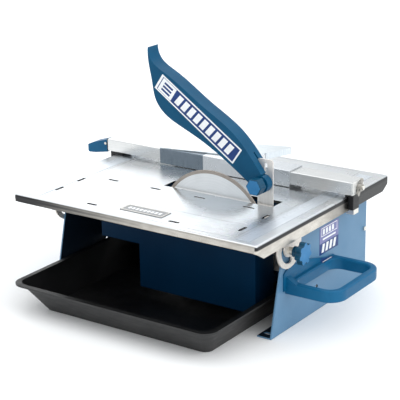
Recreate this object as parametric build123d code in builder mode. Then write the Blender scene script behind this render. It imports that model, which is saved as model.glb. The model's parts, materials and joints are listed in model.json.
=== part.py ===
from build123d import *

import os
from math import atan, atan2, cos, degrees, hypot, radians, sin

# Table-top wet tile cutter, in millimetres.
# The origin is on the ground, midway between the four slots of the two foot flanges.
# +X runs along the blade's cutting line towards the carry handle, +Y from the operator to the fence, +Z up.

# ---------------------------------------------------------------- driving dimensions
SHEET = 1.5  # table and cover sheet
FIT_GAP = 0.05  # radial clearance of a shaft in its bore
FREE_GAP = 0.3  # gap between parts that slide past each other

TABLE_X, TABLE_Y, TABLE_Z = 410.0, 360.0, 156.0
END_FLANGE, LONG_FLANGE = 21.0, 10.0  # depth of the flanges on the short and the long sides
TABLE_CORNER, TABLE_ROLL = 4.0, 3.4

BLADE_R, BLADE_Y, AXLE_X, AXLE_Z = 90.0, -30.7, 36.4, 100.0
CORE_T, RIM_T, RIM_WIDTH = 1.6, 2.4, 4.5
SHAFT_R = 8.0

SLOT_X, SLOT_Y = (-45.0, 139.0), (-36.0, -8.5)  # the table's blade slot

PLATE_IN, PLATE_OUT = 186.0, 188.0  # faces of each end plate
PLATE_FRONT, PLATE_BACK = -118.0, 145.5
PLATE_SLOPE = 0.255  # how far the front edge leans back for each mm of height
FOOT_WIDTH, FOOT_X, FOOT_Y = 22.0, 175.0, 105.0
FOOT_SLOT_R, FOOT_SLOT_LENGTH = 3.25, 12.0

HINGE_Y, HINGE_Z, HINGE_R = -48.0, 147.0, 4.0  # table tilt axis
TILT_MAX = 45.0
STUD_Y, STUD_Z, STUD_R = -79.0, 117.0, 3.0
BRACKET_IN, BRACKET_OUT = 190.5, 193.0
LOBE_R, LOBE_Z = 30.0, 122.0

KNIFE_T, KNIFE_FRONT, KNIFE_BACK, KNIFE_TOP = 2.0, 112.0, 137.0, 221.0
PIVOT_X, PIVOT_Z, PIVOT_R = 124.0, 188.0, 3.0  # blade guard pivot
GUARD_RISE = 41.7  # the stored guard's angle above the table
GUARD_Y = (-44.0, -20.0)
GUARD_WALL = 2.2

MOTOR_R, MOTOR_WALL = 50.0, 3.0
BULKHEAD_Y = (-6.0, -3.0)

FENCE_Y, FENCE_Z, FENCE_X = (52.0, 84.0), (160.0, 179.0), (-217.0, 213.0)
ROD_Y, ROD_Z = 68.0, 169.5

TRAY_X, TRAY_Y, TRAY_H = (-177.0, 165.0), (-230.0, 75.0), 42.0
TRAY_RIM, TRAY_WALL = 7.0, 2.0
LEAN_LEFT, LEAN_RIGHT, LEAN_FRONT, LEAN_REAR = 29.0, 17.0, 24.0, 18.0

os.makedirs("parts", exist_ok=True)


def save(name, solid):
    """Labels a finished piece and writes its STEP file."""
    solid.label = name
    export_step(solid, f"parts/{name}.step")


def centre(pair):
    return (pair[0] + pair[1]) / 2


def span(pair):
    return pair[1] - pair[0]


def add_box(x, y, z, mode=Mode.ADD):
    """A box from its three (low, high) pairs, in the part that is open."""
    with Locations((centre(x), centre(y), centre(z))):
        Box(span(x), span(y), span(z), mode=mode)


def y_plane(y):
    """Sketch plane facing -Y at the given depth: local x is +X, local y is +Z."""
    return Plane.XZ.offset(-y)


def x_plane(x):
    """Sketch plane facing +X: local x is +Y, local y is +Z."""
    return Plane.YZ.offset(x)


def add_rod_y(x, z, r, y, mode=Mode.ADD):
    """A round bar along Y between two depths."""
    with BuildSketch(y_plane(y[0])) as end:
        with Locations((x, z)):
            Circle(r)
    extrude(end.sketch, amount=-span(y), mode=mode)


def add_rod_x(y, z, r, x, mode=Mode.ADD):
    """A round bar along X between two stations."""
    with BuildSketch(x_plane(x[0])) as end:
        with Locations((y, z)):
            Circle(r)
    extrude(end.sketch, amount=span(x), mode=mode)


def add_hex_y(x, z, across, y):
    """A hexagon bar along Y, such as a nut or a bolt head."""
    with BuildSketch(y_plane(y[0])) as end:
        with Locations((x, z)):
            RegularPolygon(across / 2, 6, major_radius=False)
    extrude(end.sketch, amount=-span(y))


def disc_y(r_out, r_in, y):
    """A ring about the motor axis."""
    with BuildPart() as ring:
        add_rod_y(AXLE_X, AXLE_Z, r_out, y)
        if r_in:
            add_rod_y(AXLE_X, AXLE_Z, r_in, y, mode=Mode.SUBTRACT)
    return ring.part


# ---------------------------------------------------------------- table
UNDER = TABLE_Z - SHEET
DRAIN_LONG = [(-123, -54), (-47, -54), (30, -54), (112, -54), (-80, -157), (60, -157)]
DRAIN_CROSS = [(-165.6, -126), (-165.6, -77), (153, -75), (153, -132)]

with BuildPart() as table_top:
    with BuildSketch(Plane.XY.offset(TABLE_Z - END_FLANGE)):
        RectangleRounded(TABLE_X, TABLE_Y, TABLE_CORNER)
    extrude(amount=END_FLANGE)
    fillet(table_top.faces().sort_by(Axis.Z)[-1].edges(), TABLE_ROLL)
    with BuildSketch(Plane.XY.offset(TABLE_Z - END_FLANGE)):
        RectangleRounded(TABLE_X - 2 * SHEET, TABLE_Y - 2 * SHEET, TABLE_CORNER - SHEET)
    hollow = extrude(amount=END_FLANGE - SHEET, mode=Mode.PRIVATE)
    add(hollow.fillet(TABLE_ROLL - SHEET, hollow.faces().sort_by(Axis.Z)[-1].edges()), mode=Mode.SUBTRACT)
    # the long flanges are shallower than the end ones
    for side in (-1, 1):
        edge = (side * TABLE_Y / 2 - 2, side * TABLE_Y / 2 + 2)
        inner = TABLE_X / 2 - TABLE_CORNER - 1
        add_box((-inner, inner), edge, (TABLE_Z - END_FLANGE - 1, TABLE_Z - LONG_FLANGE), mode=Mode.SUBTRACT)
    # the end flanges are mitred at the corners
    for side, mitre in ((-1, 31), (1, 20)):
        with BuildSketch(x_plane(side * (TABLE_X / 2 + 1))):
            for end in (-1, 1):
                tip = end * (TABLE_Y / 2 + 1)
                corner = (tip, TABLE_Z - LONG_FLANGE)
                with BuildLine():
                    Polyline(corner, (tip, TABLE_Z - 22), (tip - end * mitre, TABLE_Z - 22), close=True)
                make_face()
        extrude(amount=-side * 12, mode=Mode.SUBTRACT)
    # rolled hem along the two long edges
    for side in (-1, 1):
        add_rod_x(side * (TABLE_Y / 2 - 2.0), TABLE_Z - LONG_FLANGE + 0.6, 2.0, (-198, 198))
    add_box(SLOT_X, SLOT_Y, (UNDER - 1, TABLE_Z + 1), mode=Mode.SUBTRACT)
    with BuildSketch(Plane.XY.offset(TABLE_Z)):
        with Locations(*DRAIN_LONG):
            SlotOverall(18, 5)
        with Locations(*DRAIN_CROSS):
            SlotOverall(18, 5, rotation=90)
    extrude(amount=-SHEET, mode=Mode.SUBTRACT)
save("table_top", table_top.part)

BADGE_X, BADGE_Y = (-35.0, 37.0), (-154.0, -130.0)
with BuildPart() as table_badge:
    with BuildSketch(Plane.XY.offset(TABLE_Z)):
        with Locations((centre(BADGE_X), centre(BADGE_Y))):
            RectangleRounded(span(BADGE_X), span(BADGE_Y), 2)
    extrude(amount=0.6)
save("table_badge", table_badge.part)

with BuildPart() as scale_strips:
    for side in (-1, 1):
        with BuildSketch(Plane.XY.offset(TABLE_Z)):
            with Locations((side * 178, -5)):
                Rectangle(22, 330)
        extrude(amount=0.25)
save("scale_strips", scale_strips.part)


def tilt_bracket(side):
    """Trunnion bracket under one end of the table, on the outer side of the end plate."""
    with BuildPart() as bracket:
        with BuildSketch(x_plane(side * BRACKET_IN)):
            with Locations((STUD_Y, LOBE_Z)):
                Circle(LOBE_R)
            with BuildLine():
                Polyline(
                    (STUD_Y - LOBE_R, LOBE_Z),
                    (STUD_Y - LOBE_R, UNDER),
                    (HINGE_Y + 12, UNDER),
                    (HINGE_Y + 12, HINGE_Z - 8),
                    (STUD_Y + LOBE_R, HINGE_Z - 8),
                    (STUD_Y + LOBE_R, LOBE_Z),
                    close=True,
                )
            make_face()
            with BuildLine(mode=Mode.PRIVATE) as window:
                CenterArc((STUD_Y, STUD_Z + 3), 16.5, 168, 105)
            SlotArc(window.wire(), 9, mode=Mode.SUBTRACT)
            with Locations((STUD_Y, STUD_Z)):
                Circle(STUD_R, mode=Mode.SUBTRACT)
            with Locations((HINGE_Y, HINGE_Z)):
                Circle(HINGE_R + FIT_GAP, mode=Mode.SUBTRACT)
        extrude(amount=side * (BRACKET_OUT - BRACKET_IN))
        # welding flange under the table sheet
        flange = sorted((side * BRACKET_OUT, side * (BRACKET_OUT + 8)))
        add_box(flange, (STUD_Y - LOBE_R, HINGE_Y + 12), (UNDER - 2, UNDER))
    return bracket.part


save("right_tilt_bracket", tilt_bracket(1))
save("left_tilt_bracket", tilt_bracket(-1))

KNOB_X = (209.0, 218.0)
COLLAR_OUT = 200.0
with BuildPart() as tilt_studs:
    for side in (-1, 1):
        inner, outer = PLATE_IN - FREE_GAP, KNOB_X[1] - 5
        add_rod_x(STUD_Y, STUD_Z, STUD_R, sorted((side * (inner - 1), side * outer)))
        add_rod_x(STUD_Y, STUD_Z, 8, sorted((side * (inner - 4), side * inner)))
        add_rod_x(STUD_Y, STUD_Z, 5.5, sorted((side * BRACKET_OUT, side * COLLAR_OUT)))
save("tilt_studs", tilt_studs.part)


def star_knob(side):
    """Seven-lobed clamp knob on a tilt stud."""
    with BuildPart() as knob:
        with BuildSketch(x_plane(side * KNOB_X[0])):
            with Locations((STUD_Y, STUD_Z)):
                Circle(13)
                with PolarLocations(12, 7, start_angle=90):
                    Circle(4)
        extrude(amount=side * span(KNOB_X))
        ends = knob.faces().filter_by(Axis.X)
        fillet(ends.edges(), 1.2)
        hub = sorted((side * (COLLAR_OUT + FREE_GAP), side * KNOB_X[0]))
        add_rod_x(STUD_Y, STUD_Z, 7.5, hub)
        bore = sorted((side * COLLAR_OUT, side * (KNOB_X[1] - 5 + FREE_GAP)))
        add_rod_x(STUD_Y, STUD_Z, STUD_R + FIT_GAP, bore, mode=Mode.SUBTRACT)
    return knob.part


save("right_tilt_knob", star_knob(1))
save("left_tilt_knob", star_knob(-1))


# ---------------------------------------------------------------- base frame
PLATE_TOP = HINGE_Z + 6.8
SWEEP = 6.8 * 2**0.5  # the plate's front top corner stays inside the tilted table's underside
CORNER_Y = HINGE_Y - (6.8 * 2**0.5 - 6.8)
STUD_REACH = hypot(STUD_Y - HINGE_Y, STUD_Z - HINGE_Z)
STUD_ANGLE = degrees(atan2(STUD_Z - HINGE_Z, STUD_Y - HINGE_Y)) % 360
# the sloping front edge meets the 45 degree corner here
MEET_Z = (HINGE_Z - HINGE_Y + SWEEP + PLATE_FRONT) / (1 - PLATE_SLOPE)
MEET_Y = PLATE_FRONT + PLATE_SLOPE * MEET_Z


def end_plate(side):
    """Upright end plate with its foot flange turned inwards."""
    with BuildPart() as plate:
        with BuildSketch(x_plane(side * PLATE_IN)):
            with BuildLine():
                Polyline(
                    (PLATE_FRONT, 0),
                    (MEET_Y, MEET_Z),
                    (CORNER_Y, PLATE_TOP),
                    (PLATE_BACK, PLATE_TOP),
                    (PLATE_BACK, 0),
                    close=True,
                )
            make_face()
            with BuildLine(mode=Mode.PRIVATE) as path:
                CenterArc((HINGE_Y, HINGE_Z), STUD_REACH, STUD_ANGLE - 1, TILT_MAX + 2)
            SlotArc(path.wire(), 2 * STUD_R + 0.8, mode=Mode.SUBTRACT)
            with Locations((HINGE_Y, HINGE_Z)):
                Circle(HINGE_R, mode=Mode.SUBTRACT)
            with Locations((2.6, 36.5)):
                Circle(3, mode=Mode.SUBTRACT)
        extrude(amount=side * (PLATE_OUT - PLATE_IN))
        foot = sorted((side * (PLATE_OUT - FOOT_WIDTH), side * PLATE_IN))
        add_box(foot, (PLATE_FRONT, PLATE_BACK), (0, 2))
        with BuildSketch(Plane.XY):
            with Locations((side * FOOT_X, -FOOT_Y), (side * FOOT_X, FOOT_Y)):
                SlotOverall(FOOT_SLOT_LENGTH, 2 * FOOT_SLOT_R)
        extrude(amount=2, mode=Mode.SUBTRACT)
    return plate.part


save("right_end_plate", end_plate(1))
save("left_end_plate", end_plate(-1))

with BuildPart() as hinge_pins:
    for side in (-1, 1):
        add_rod_x(HINGE_Y, HINGE_Z, HINGE_R, sorted((side * (PLATE_IN - 3), side * 196)))
        add_rod_x(HINGE_Y, HINGE_Z, 6.5, sorted((side * (PLATE_IN - 3), side * PLATE_IN)))
        add_rod_x(HINGE_Y, HINGE_Z, 5.2, sorted((side * 193.3, side * 196)))
save("hinge_pins", hinge_pins.part)

# splash panel: L-shaped front with side returns, the left one and the right tab reach the bulkhead
PANEL_X, PANEL_Y, PANEL_Z = (-122.0, 143.5), (-87.0, -85.5), (15.5, 112.0)
NOTCH_X, NOTCH_Z = -54.0, 81.0
with BuildPart() as splash_panel:
    add_box((PANEL_X[0], NOTCH_X), PANEL_Y, (NOTCH_Z, PANEL_Z[1]))
    add_box((NOTCH_X, PANEL_X[1]), PANEL_Y, PANEL_Z)
    add_box((PANEL_X[0], PANEL_X[0] + SHEET), (PANEL_Y[1], BULKHEAD_Y[0]), (NOTCH_Z, PANEL_Z[1]))
    add_box((PANEL_X[1] - SHEET, PANEL_X[1]), (PANEL_Y[1], -40), PANEL_Z)
    add_box((PANEL_X[1] - SHEET, PANEL_X[1]), (-40, BULKHEAD_Y[0]), (46, 58))
save("splash_panel", splash_panel.part)

# bulkhead across the base, which carries the motor
with BuildPart() as motor_bulkhead:
    add_box((-184, 184), BULKHEAD_Y, (46, 150))
    for side in (-1, 1):
        tab = sorted((side * 184, side * PLATE_IN))
        add_box(tab, (BULKHEAD_Y[0], 12), (46, 150))
    add_rod_y(AXLE_X, AXLE_Z, 26, BULKHEAD_Y, mode=Mode.SUBTRACT)
save("motor_bulkhead", motor_bulkhead.part)

REAR_Y, REAR_Z = (126.0, 143.0), (60.0, 104.0)
with BuildPart() as rear_cross_member:
    add_box((-184, 184), (REAR_Y[1] - 2, REAR_Y[1]), REAR_Z)
    add_box((-184, 184), (REAR_Y[0], REAR_Y[1] - 2), (REAR_Z[0], REAR_Z[0] + 2))
    add_box((-184, 184), (REAR_Y[0], REAR_Y[1] - 2), (REAR_Z[1] - 2, REAR_Z[1]))
    for side in (-1, 1):
        tab = sorted((side * 184, side * PLATE_IN))
        add_box(tab, (108, REAR_Y[1]), REAR_Z)
save("rear_cross_member", rear_cross_member.part)

with BuildPart() as frame_screws:
    for side in (-1, 1):
        head = sorted((side * PLATE_OUT, side * (PLATE_OUT + 2.2)))
        add_rod_x(139, 82, 3.2, head)
save("frame_screws", frame_screws.part)

# carry handle: a closed loop, its back bar screwed to the right end plate
HANDLE_X, HANDLE_Y, HANDLE_Z = (PLATE_OUT, 268.0), (-82.0, 48.0), (54.0, 71.0)
HANDLE_BAR, HANDLE_BACK, HANDLE_CORNER, BACK_PLATE_T = 10.0, 7.0, 26.0, 2.0
with BuildPart() as carry_handle:
    with BuildSketch(Plane.XY.offset(HANDLE_Z[0])) as loop:
        with Locations((centre(HANDLE_X), centre(HANDLE_Y))):
            Rectangle(span(HANDLE_X), span(HANDLE_Y))
        fillet(loop.vertices().sort_by(Axis.X)[-2:], HANDLE_CORNER)
        inner_x = (HANDLE_X[0] + HANDLE_BACK, HANDLE_X[1] - HANDLE_BAR)
        with Locations((centre(inner_x), centre(HANDLE_Y))):
            hand = (span(inner_x), span(HANDLE_Y) - 2 * HANDLE_BAR)
            RectangleRounded(*hand, HANDLE_CORNER - HANDLE_BAR, mode=Mode.SUBTRACT)
    extrude(amount=span(HANDLE_Z))
    rims = carry_handle.faces().filter_by(Axis.Z).edges()
    fillet(rims.filter_by(lambda edge: edge.center().X > PLATE_OUT + 1), 2.5)
    # thin back plate that rises behind the bar, and a gusset where the front bar meets it
    with BuildSketch(x_plane(HANDLE_X[0])):
        with BuildLine():
            crest = Spline((-88, 84), (-80, 89), (-53, 90.3), (-33.5, 88.2), (-9.6, 83), (22, 74.5), (48, 71))
            Polyline(crest @ 1, (48, 60), (-88, 60), crest @ 0)
        make_face()
    extrude(amount=BACK_PLATE_T)
    with BuildSketch(y_plane(HANDLE_Y[0])):
        with BuildLine():
            root = HANDLE_X[0] + BACK_PLATE_T
            Polyline((root, HANDLE_Z[1] - 1), (root, 79), (root + 16, HANDLE_Z[1] - 1), close=True)
        make_face()
    extrude(amount=-HANDLE_BAR)
save("carry_handle", carry_handle.part)

with BuildPart() as handle_screws:
    for y in (-60, 26):
        add_rod_x(y, centre(HANDLE_Z), 5, (PLATE_IN - 3, PLATE_IN))
save("handle_screws", handle_screws.part)

with BuildPart() as rating_label:
    add_box((PLATE_OUT, PLATE_OUT + 0.4), (9, 62), (80, 121))
save("rating_label", rating_label.part)

# ---------------------------------------------------------------- motor, fixed parts
FRONT_BELL, HOUSING, REAR_BELL = (-3.0, 11.0), (11.0, 91.0), (91.0, 103.0)
STATOR = (26.0, 74.0)
BEARING_R = 17.0

with BuildPart() as motor_front_bell:
    add_rod_y(AXLE_X, AXLE_Z, MOTOR_R, FRONT_BELL)
    add_rod_y(AXLE_X, AXLE_Z, 25.5, (-7, FRONT_BELL[0]))
    add_rod_y(AXLE_X, AXLE_Z, MOTOR_R - 6, (6, FRONT_BELL[1]), mode=Mode.SUBTRACT)
    add_rod_y(AXLE_X, AXLE_Z, BEARING_R, (-5, 6), mode=Mode.SUBTRACT)
    add_rod_y(AXLE_X, AXLE_Z, SHAFT_R + 1.5, (-7, -5), mode=Mode.SUBTRACT)
save("motor_front_bell", motor_front_bell.part)

with BuildPart() as motor_rear_bell:
    add_rod_y(AXLE_X, AXLE_Z, MOTOR_R, REAR_BELL)
    add_rod_y(AXLE_X, AXLE_Z, MOTOR_R - 6, (REAR_BELL[0], 94), mode=Mode.SUBTRACT)
    add_rod_y(AXLE_X, AXLE_Z, BEARING_R, (94, 101.5), mode=Mode.SUBTRACT)
    add_rod_y(AXLE_X, AXLE_Z, SHAFT_R + 1.5, (101.5, REAR_BELL[1]), mode=Mode.SUBTRACT)
save("motor_rear_bell", motor_rear_bell.part)

save("motor_housing", disc_y(MOTOR_R, MOTOR_R - MOTOR_WALL, HOUSING))
save("stator_core", disc_y(MOTOR_R - MOTOR_WALL, 27, STATOR))
with BuildPart() as stator_windings:
    add(disc_y(43, 29, (16, STATOR[0])))
    add(disc_y(43, 29, (STATOR[1], 84)))
save("stator_windings", stator_windings.part)
with BuildPart() as motor_bearings:
    add(disc_y(BEARING_R, SHAFT_R + FIT_GAP, (-5, 6)))
    add(disc_y(BEARING_R, SHAFT_R + FIT_GAP, (94, 101.5)))
save("motor_bearings", motor_bearings.part)

FAN_COVER = (103.0, 125.0)
with BuildPart() as fan_cover:
    add_rod_y(AXLE_X, AXLE_Z, MOTOR_R, FAN_COVER)
    add_rod_y(AXLE_X, AXLE_Z, MOTOR_R - 1.5, (FAN_COVER[0], FAN_COVER[1] - 1.5), mode=Mode.SUBTRACT)
    with BuildSketch(y_plane(FAN_COVER[1])):
        with Locations((AXLE_X, AXLE_Z)):
            with PolarLocations(28, 16):
                SlotOverall(24, 4)
    extrude(amount=2, mode=Mode.SUBTRACT)
save("fan_cover", fan_cover.part)

with BuildPart() as motor_bolts:
    for angle in (45, 135, 225, 315):
        x = AXLE_X + 36 * cos(radians(angle))
        z = AXLE_Z + 36 * sin(radians(angle))
        add_hex_y(x, z, 8, (BULKHEAD_Y[0] - 3.5, BULKHEAD_Y[0]))
save("motor_bolts", motor_bolts.part)

with BuildPart() as run_capacitor:
    add_rod_y(-48, 104, 17.5, (BULKHEAD_Y[1], 66))
    fillet(run_capacitor.faces().sort_by(Axis.Y)[-1].edges(), 2)
save("run_capacitor", run_capacitor.part)

# ---------------------------------------------------------------- rotor and blade, turning
with BuildPart() as rotor_shaft:
    add_rod_y(AXLE_X, AXLE_Z, SHAFT_R, (-46, 118))
    add_rod_y(AXLE_X, AXLE_Z, 6, (-50, -46))
save("rotor_shaft", rotor_shaft.part)
save("rotor_core", disc_y(26.7, SHAFT_R, STATOR))

with BuildPart() as cooling_fan:
    add_rod_y(AXLE_X, AXLE_Z, 13, (106, 118))
    with BuildSketch(y_plane(108)):
        with Locations((AXLE_X, AXLE_Z)):
            with PolarLocations(27, 8):
                Rectangle(34, 2)
    extrude(amount=-9)
    add_rod_y(AXLE_X, AXLE_Z, SHAFT_R, (106, 118), mode=Mode.SUBTRACT)
save("cooling_fan", cooling_fan.part)

CORE_Y = (BLADE_Y - CORE_T / 2, BLADE_Y + CORE_T / 2)
RIM_Y = (BLADE_Y - RIM_T / 2, BLADE_Y + RIM_T / 2)
save("blade_core", disc_y(BLADE_R - RIM_WIDTH, SHAFT_R, CORE_Y))
save("diamond_rim", disc_y(BLADE_R, BLADE_R - RIM_WIDTH, RIM_Y))

with BuildPart() as inner_flange:
    add(disc_y(25, SHAFT_R, (CORE_Y[1], CORE_Y[1] + 6)))
    add(disc_y(12, SHAFT_R, (CORE_Y[1] + 6, -9)))
save("inner_flange", inner_flange.part)
save("outer_flange", disc_y(25, SHAFT_R, (CORE_Y[0] - 5, CORE_Y[0])))
with BuildPart() as arbor_nut:
    add_hex_y(AXLE_X, AXLE_Z, 24, (CORE_Y[0] - 13, CORE_Y[0] - 5))
    add_rod_y(AXLE_X, AXLE_Z, SHAFT_R, (CORE_Y[0] - 13, CORE_Y[0] - 5), mode=Mode.SUBTRACT)
save("arbor_nut", arbor_nut.part)

# ---------------------------------------------------------------- riving knife
KNIFE_Y = (BLADE_Y - KNIFE_T / 2, BLADE_Y + KNIFE_T / 2)
KNIFE_R = BLADE_R + 4  # its front edge follows the blade
KNIFE_LOW, KNIFE_HIP = 62.0, 128.0


def on_knife_arc(z):
    return AXLE_X + (KNIFE_R**2 - (z - AXLE_Z) ** 2) ** 0.5


with BuildPart() as riving_knife:
    with BuildSketch(y_plane(KNIFE_Y[0])) as blank:
        upper_z = AXLE_Z + (KNIFE_R**2 - (KNIFE_FRONT - AXLE_X) ** 2) ** 0.5
        with BuildLine():
            Polyline(
                (KNIFE_FRONT, upper_z),
                (KNIFE_FRONT, KNIFE_TOP),
                (KNIFE_BACK, KNIFE_TOP),
                (KNIFE_BACK, 146),
                (160, KNIFE_HIP),
                (160, KNIFE_LOW),
                (on_knife_arc(KNIFE_LOW), KNIFE_LOW),
            )
            ThreePointArc(
                (on_knife_arc(KNIFE_LOW), KNIFE_LOW),
                (AXLE_X + KNIFE_R, AXLE_Z),
                (KNIFE_FRONT, upper_z),
            )
        make_face()
        fillet(blank.vertices().sort_by(Axis.Y)[-2:], 4)
        with Locations((126, 206)):
            SlotOverall(20, 4.5, rotation=90, mode=Mode.SUBTRACT)
        with Locations((PIVOT_X, PIVOT_Z)):
            Circle(PIVOT_R, mode=Mode.SUBTRACT)
    extrude(amount=-KNIFE_T)
save("riving_knife", riving_knife.part)

KNIFE_BOLTS = [(148, 76), (148, 112)]
with BuildPart() as knife_bracket:
    add_box((138, 158), (KNIFE_Y[1], BULKHEAD_Y[0]), (66, 122))
save("knife_bracket", knife_bracket.part)
with BuildPart() as knife_bolts:
    for x, z in KNIFE_BOLTS:
        add_hex_y(x, z, 10, (KNIFE_Y[0] - 4, KNIFE_Y[0]))
save("knife_bolts", knife_bolts.part)

# ---------------------------------------------------------------- blade guard
RISE_COS, RISE_SIN = cos(radians(GUARD_RISE)), sin(radians(GUARD_RISE))
GUARD_TIP = (251.0, 4.0)
GUARD_BACK = [(8, 12), (35, 17), (71, 20.5), (137, 10), (205, -1.5), (233, -6), GUARD_TIP]
GUARD_BELLY = [
    (249, 1),
    (237, -11),
    (216, -27),
    (194, -43),
    (173, -47),
    (141, -40),
    (105, -28.5),
    (59, -18.5),
    (6, -12),
]
PIVOT_BOSS = 12.5


def guard_plane(y):
    """Sketch plane along the stored guard: local x runs from the pivot to the tip, local y is its back."""
    return Plane(origin=(PIVOT_X, y, PIVOT_Z), x_dir=(-RISE_COS, 0, RISE_SIN), z_dir=(0, 1, 0))


NECK_U, KNIFE_U = 24.0, 40.0  # where the far wall starts, and how far the knife's slot runs
with BuildPart() as guard_shell:
    with BuildSketch(guard_plane(GUARD_Y[0])):
        with BuildLine():
            back = Spline(GUARD_BACK)
            belly = Spline(GUARD_BELLY)
            Line(back @ 1, belly @ 0)
            Line(belly @ 1, back @ 0)
        make_face()
        Circle(PIVOT_BOSS)
    extrude(amount=span(GUARD_Y))
    # hollow between the side walls, open below
    with BuildSketch(guard_plane(GUARD_Y[0] + GUARD_WALL)):
        with BuildLine():
            inner = Spline([(u, v - GUARD_WALL) for u, v in GUARD_BACK[2:-1]])
            Polyline(inner @ 1, (240, -60), (NECK_U, -60), (NECK_U, 12), inner @ 0)
        make_face()
    extrude(amount=span(GUARD_Y) - 2 * GUARD_WALL, mode=Mode.SUBTRACT)
    # clearance for the riving knife, and for the tilted table on the far side of the pivot
    knife_gap = (KNIFE_Y[0] - FREE_GAP, KNIFE_Y[1] + FREE_GAP)
    with BuildSketch(guard_plane(knife_gap[0])):
        with Locations((10, 0)):
            Rectangle(2 * (KNIFE_U - 10), 80)
    extrude(amount=span(knife_gap), mode=Mode.SUBTRACT)
    with BuildSketch(guard_plane(knife_gap[0])):
        with Locations((0, 0)):
            Rectangle(2 * NECK_U, 80)
    extrude(amount=GUARD_Y[1] - knife_gap[0] + 1, mode=Mode.SUBTRACT)
    add_rod_y(PIVOT_X, PIVOT_Z, PIVOT_R + FIT_GAP, (GUARD_Y[0] - 1, knife_gap[0] + 1), mode=Mode.SUBTRACT)
save("guard_shell", guard_shell.part)

with BuildPart() as guard_stripe:
    with BuildSketch(guard_plane(GUARD_Y[0])):
        with BuildLine():
            Polyline((209, -6), (206, -31), (48, -12.5), (51, 14), close=True)
        make_face()
    extrude(amount=-0.4)
save("guard_stripe", guard_stripe.part)

KNOB_Y, KNOB_HUB = (-61.5, -44.7), 3.0
with BuildPart() as guard_pivot_bolt:
    add_rod_y(PIVOT_X, PIVOT_Z, PIVOT_R, (KNOB_Y[0] + 8, KNIFE_Y[1]))
    add_hex_y(PIVOT_X, PIVOT_Z, 9, (KNIFE_Y[1], KNIFE_Y[1] + 3))
save("guard_pivot_bolt", guard_pivot_bolt.part)

with BuildPart() as guard_knob:
    with BuildSketch(y_plane(KNOB_Y[0])):
        with Locations((PIVOT_X, PIVOT_Z)):
            Circle(11)
            with PolarLocations(9, 6):
                Circle(3.2)
    extrude(amount=-(span(KNOB_Y) - KNOB_HUB))
    fillet(guard_knob.faces().sort_by(Axis.Y)[0].edges(), 2.2)
    add_rod_y(PIVOT_X, PIVOT_Z, 8, (KNOB_Y[1] - KNOB_HUB, KNOB_Y[1]))
    add_rod_y(PIVOT_X, PIVOT_Z, PIVOT_R + FIT_GAP, (KNOB_Y[0] + 8 - FREE_GAP, KNOB_Y[1]), mode=Mode.SUBTRACT)
save("guard_knob", guard_knob.part)

# ---------------------------------------------------------------- fence
with BuildPart() as fence_rail:
    add_box(FENCE_X, FENCE_Y, FENCE_Z)
    fillet(fence_rail.edges().filter_by(Axis.X), 1.5)
    bore_y = (FENCE_Y[0] + SHEET, FENCE_Y[1] - SHEET)
    bore_z = (FENCE_Z[0] + SHEET, FENCE_Z[1] - SHEET)
    add_box(FENCE_X, bore_y, bore_z, mode=Mode.SUBTRACT)
save("fence_rail", fence_rail.part)

REST_Z = TABLE_Z + 0.3  # the sliders ride this high on the table
HOOK_IN, HOOK_OUT = TABLE_X / 2 + 0.4, TABLE_X / 2 + 8
RIGHT_HOOK_Y, LEFT_HOOK_Y = (58.0, 76.0), (53.0, 76.0)


def fence_hook(side, hook_y, inner):
    """Slider block under one end of the fence, hooked over the table's end flange."""
    with BuildPart() as hook:
        add_box(sorted((side * inner, side * HOOK_OUT)), hook_y, (REST_Z, FENCE_Z[0]))
        add_box(sorted((side * HOOK_IN, side * HOOK_OUT)), hook_y, (137, REST_Z))
        outside = hook.faces().sort_by(Axis.X)[-1 if side > 0 else 0]
        fillet(outside.edges().filter_by(Axis.Z), 1)
    return hook.part


save("right_fence_hook", fence_hook(1, RIGHT_HOOK_Y, 200))
save("left_fence_hook", fence_hook(-1, LEFT_HOOK_Y, 190))

with BuildPart() as fence_clamp_foot:
    add_box((201, HOOK_OUT), (60, 74), (130, 134.6))
    add_box((HOOK_IN, HOOK_OUT), (60, 74), (134.6, 137))
save("fence_clamp_foot", fence_clamp_foot.part)

END_CAP = 2.0
with BuildPart() as fence_end_caps:
    for x in ((FENCE_X[0] - END_CAP, FENCE_X[0]), (FENCE_X[1], FENCE_X[1] + END_CAP)):
        add_box(x, (FENCE_Y[0] + 0.5, FENCE_Y[1] - 0.5), (FENCE_Z[0] + 0.5, FENCE_Z[1] - 0.5))
        add_rod_x(ROD_Y, ROD_Z, 3, (x[0] - 1, x[1] + 1), mode=Mode.SUBTRACT)
save("fence_end_caps", fence_end_caps.part)

LEVER_X, LEVER_TIP_X = -226.0, -262.0
LEVER_PIN_R, LEVER_EAR_R, ROD_EYE_R = 2.0, 5.5, 4.2
with BuildPart() as fence_clamp_rod:
    add_rod_x(ROD_Y, ROD_Z, 3, (LEVER_X, 224))
    add_rod_y(LEVER_X, ROD_Z, ROD_EYE_R, (64, 72))
    add_rod_y(LEVER_X, ROD_Z, LEVER_PIN_R, (56.5, 79.5))
save("fence_clamp_rod", fence_clamp_rod.part)

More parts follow.
